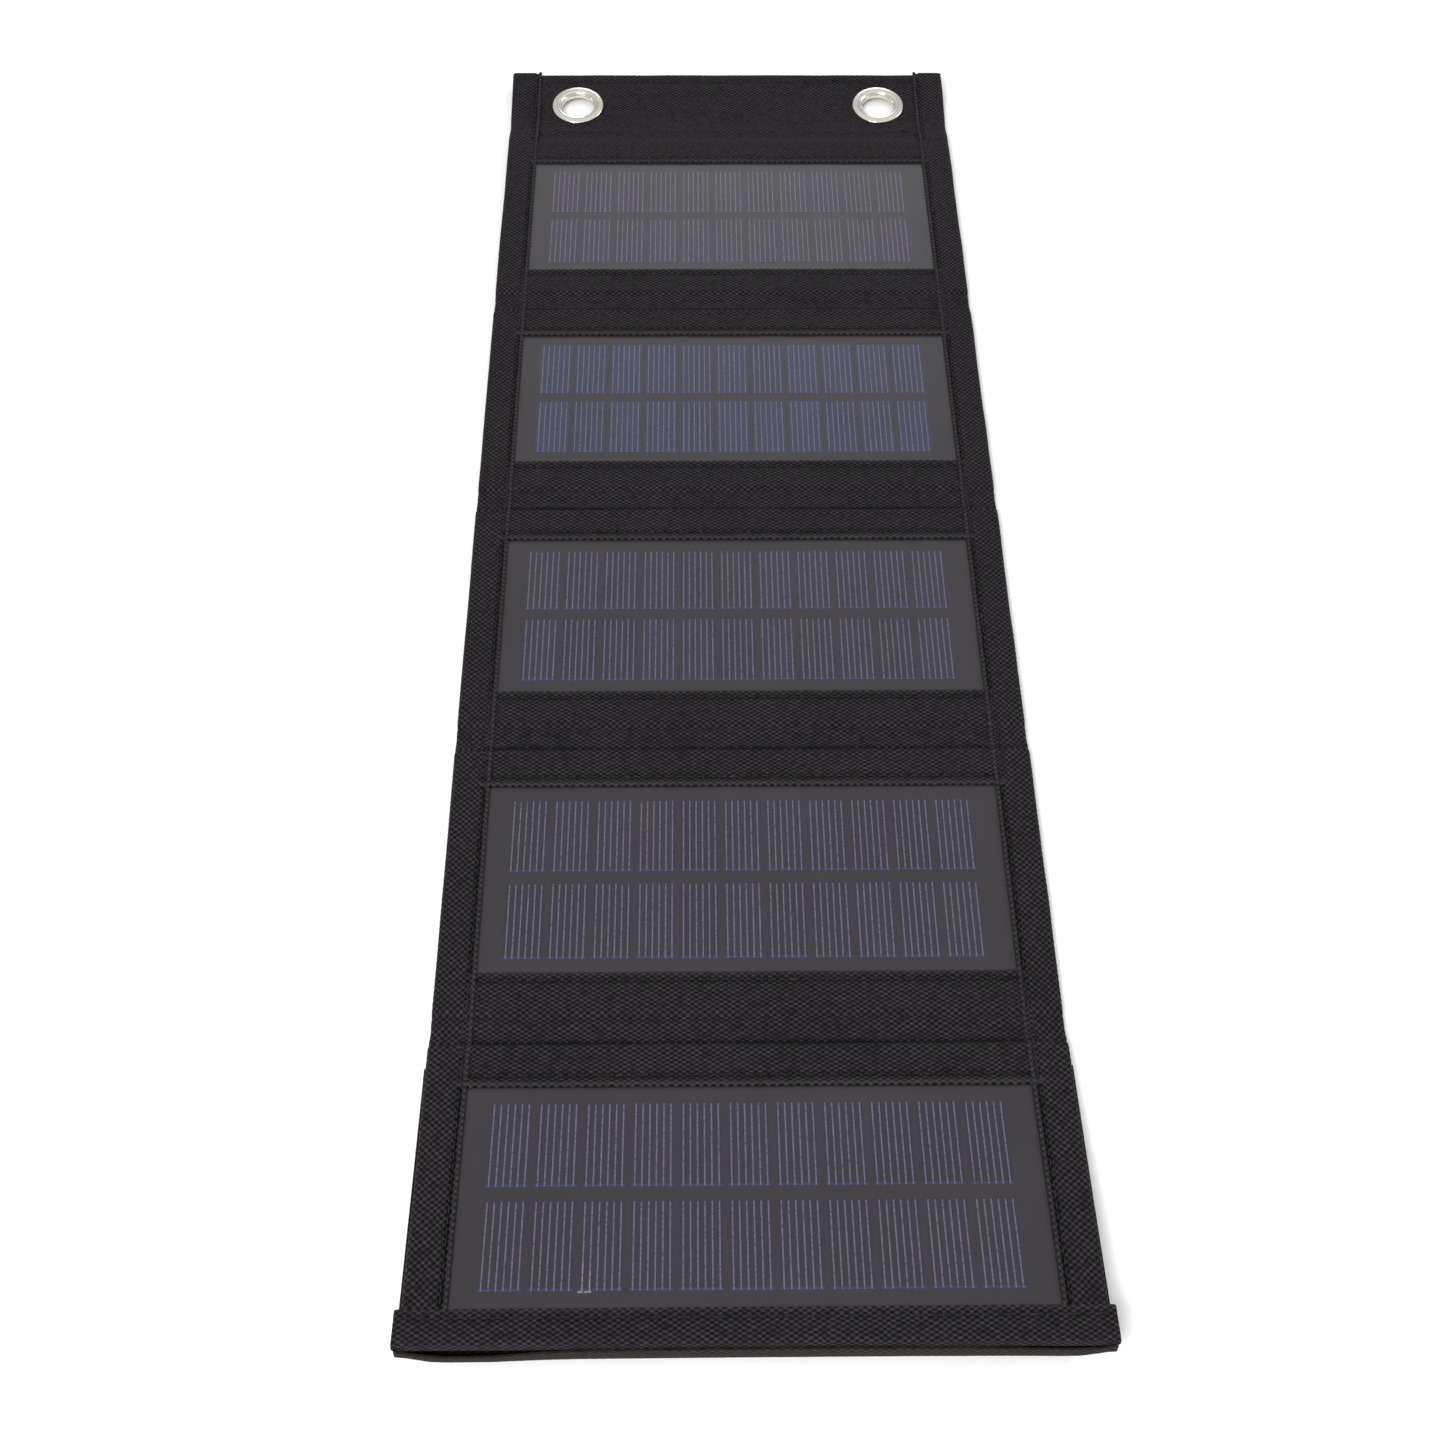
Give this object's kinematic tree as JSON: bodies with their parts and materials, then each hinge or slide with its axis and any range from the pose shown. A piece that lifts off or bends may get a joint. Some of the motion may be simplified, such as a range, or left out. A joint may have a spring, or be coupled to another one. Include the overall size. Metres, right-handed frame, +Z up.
{
  "type": "folding solar charger",
  "caption": "Folding camping solar charger: cloth-bound panels hinged in a row, a hanging flap with eyelets, and a USB regulator in a rear pocket.",
  "frame": {"origin": "centre of the open charger's footprint, at the table", "axes": "+X across the panels, +Y from the hemmed end with the pocket to the hanging flap, +Z up out of the cells"},
  "size_m": [0.1826, 0.562, 0.0142],
  "materials": {
    "silicon_cell": "dark silicon under film",
    "cover_film": "satin clear film",
    "laminate_board": "dark laminate",
    "stiffener_board": "plain plastic board",
    "copper_ribbon": "tinned copper",
    "front_cloth": "basket-weave coated oxford",
    "back_cloth": "coated oxford",
    "binding_tape": "folded cloth tape",
    "pocket_cloth": "coated oxford",
    "nickel_plate": "nickel plate, brushed by use",
    "case_plastic": "fine spark texture",
    "circuit_board": "solder mask",
    "socket_steel": "tin-plated sheet",
    "socket_plastic": "moulded",
    "contact_gold": "gold flash",
    "choke_ferrite": "moulded ferrite",
    "chip_epoxy": "moulded epoxy",
    "lamp_plastic": "clear acrylic"
  },
  "bodies": {
    "panel_5": {"bottom_hem": "front_cloth", "choke_coil": "choke_ferrite", "lamp_light_pipe": "lamp_plastic", "panel_5_back_cloth": "back_cloth", "panel_5_bindings": "binding_tape", "panel_5_cells": "silicon_cell", "panel_5_film": "cover_film", "panel_5_laminate": "laminate_board", "panel_5_leads": "copper_ribbon", "panel_5_stiffener": "stiffener_board", "panel_5_top_strip": "front_cloth", "rear_pocket": "pocket_cloth", "regulator_case_bottom": "case_plastic", "regulator_case_top": "case_plastic", "regulator_chip": "chip_epoxy", "regulator_circuit_board": "circuit_board", "usb_socket_contacts": "contact_gold", "usb_socket_shell": "socket_steel", "usb_socket_tongue": "socket_plastic"},
    "panel_4": {"panel_4_back_cloth": "back_cloth", "panel_4_bindings": "binding_tape", "panel_4_bottom_strip": "front_cloth", "panel_4_cells": "silicon_cell", "panel_4_film": "cover_film", "panel_4_laminate": "laminate_board", "panel_4_leads": "copper_ribbon", "panel_4_stiffener": "stiffener_board", "panel_4_top_strip": "front_cloth"},
    "panel_3": {"panel_3_back_cloth": "back_cloth", "panel_3_bindings": "binding_tape", "panel_3_bottom_strip": "front_cloth", "panel_3_cells": "silicon_cell", "panel_3_film": "cover_film", "panel_3_laminate": "laminate_board", "panel_3_leads": "copper_ribbon", "panel_3_stiffener": "stiffener_board", "panel_3_top_strip": "front_cloth"},
    "panel_2": {"panel_2_back_cloth": "back_cloth", "panel_2_bindings": "binding_tape", "panel_2_bottom_strip": "front_cloth", "panel_2_cells": "silicon_cell", "panel_2_film": "cover_film", "panel_2_laminate": "laminate_board", "panel_2_leads": "copper_ribbon", "panel_2_stiffener": "stiffener_board", "panel_2_top_strip": "front_cloth"},
    "panel_1": {"panel_1_back_cloth": "back_cloth", "panel_1_bindings": "binding_tape", "panel_1_bottom_strip": "front_cloth", "panel_1_cells": "silicon_cell", "panel_1_film": "cover_film", "panel_1_laminate": "laminate_board", "panel_1_leads": "copper_ribbon", "panel_1_stiffener": "stiffener_board", "panel_1_top_strip": "front_cloth"},
    "flap": {"eyelet_washers": "nickel_plate", "eyelets": "nickel_plate", "flap_back_cloth": "back_cloth", "flap_bindings": "binding_tape", "flap_front_cloth": "front_cloth"}
  },
  "joints": [
    {"name": "fold_4_5", "type": "hinge", "parent": "panel_5", "child": "panel_4", "pos_m": [0, -0.18475, 0.0048], "axis": [1, 0, 0], "range_deg": [0, 174.2]},
    {"name": "fold_3_4", "type": "hinge", "parent": "panel_4", "child": "panel_3", "pos_m": [0, -0.07875, -0.0002], "axis": [-1, 0, 0], "range_deg": [0, 180]},
    {"name": "fold_2_3", "type": "hinge", "parent": "panel_3", "child": "panel_2", "pos_m": [0, 0.02725, 0.0048], "axis": [1, 0, 0], "range_deg": [0, 180]},
    {"name": "fold_1_2", "type": "hinge", "parent": "panel_2", "child": "panel_1", "pos_m": [0, 0.13325, -0.0002], "axis": [-1, 0, 0], "range_deg": [0, 180]},
    {"name": "flap_fold", "type": "hinge", "parent": "panel_1", "child": "flap", "pos_m": [0, 0.245, 0.0014], "axis": [1, 0, 0], "range_deg": [-90, 90]}
  ],
  "couplings": [
    {"joint": "fold_3_4", "follows": "fold_4_5", "ratio": 1.0332},
    {"joint": "fold_2_3", "follows": "fold_4_5", "ratio": 1.0332},
    {"joint": "fold_1_2", "follows": "fold_4_5", "ratio": 1.0332}
  ]
}
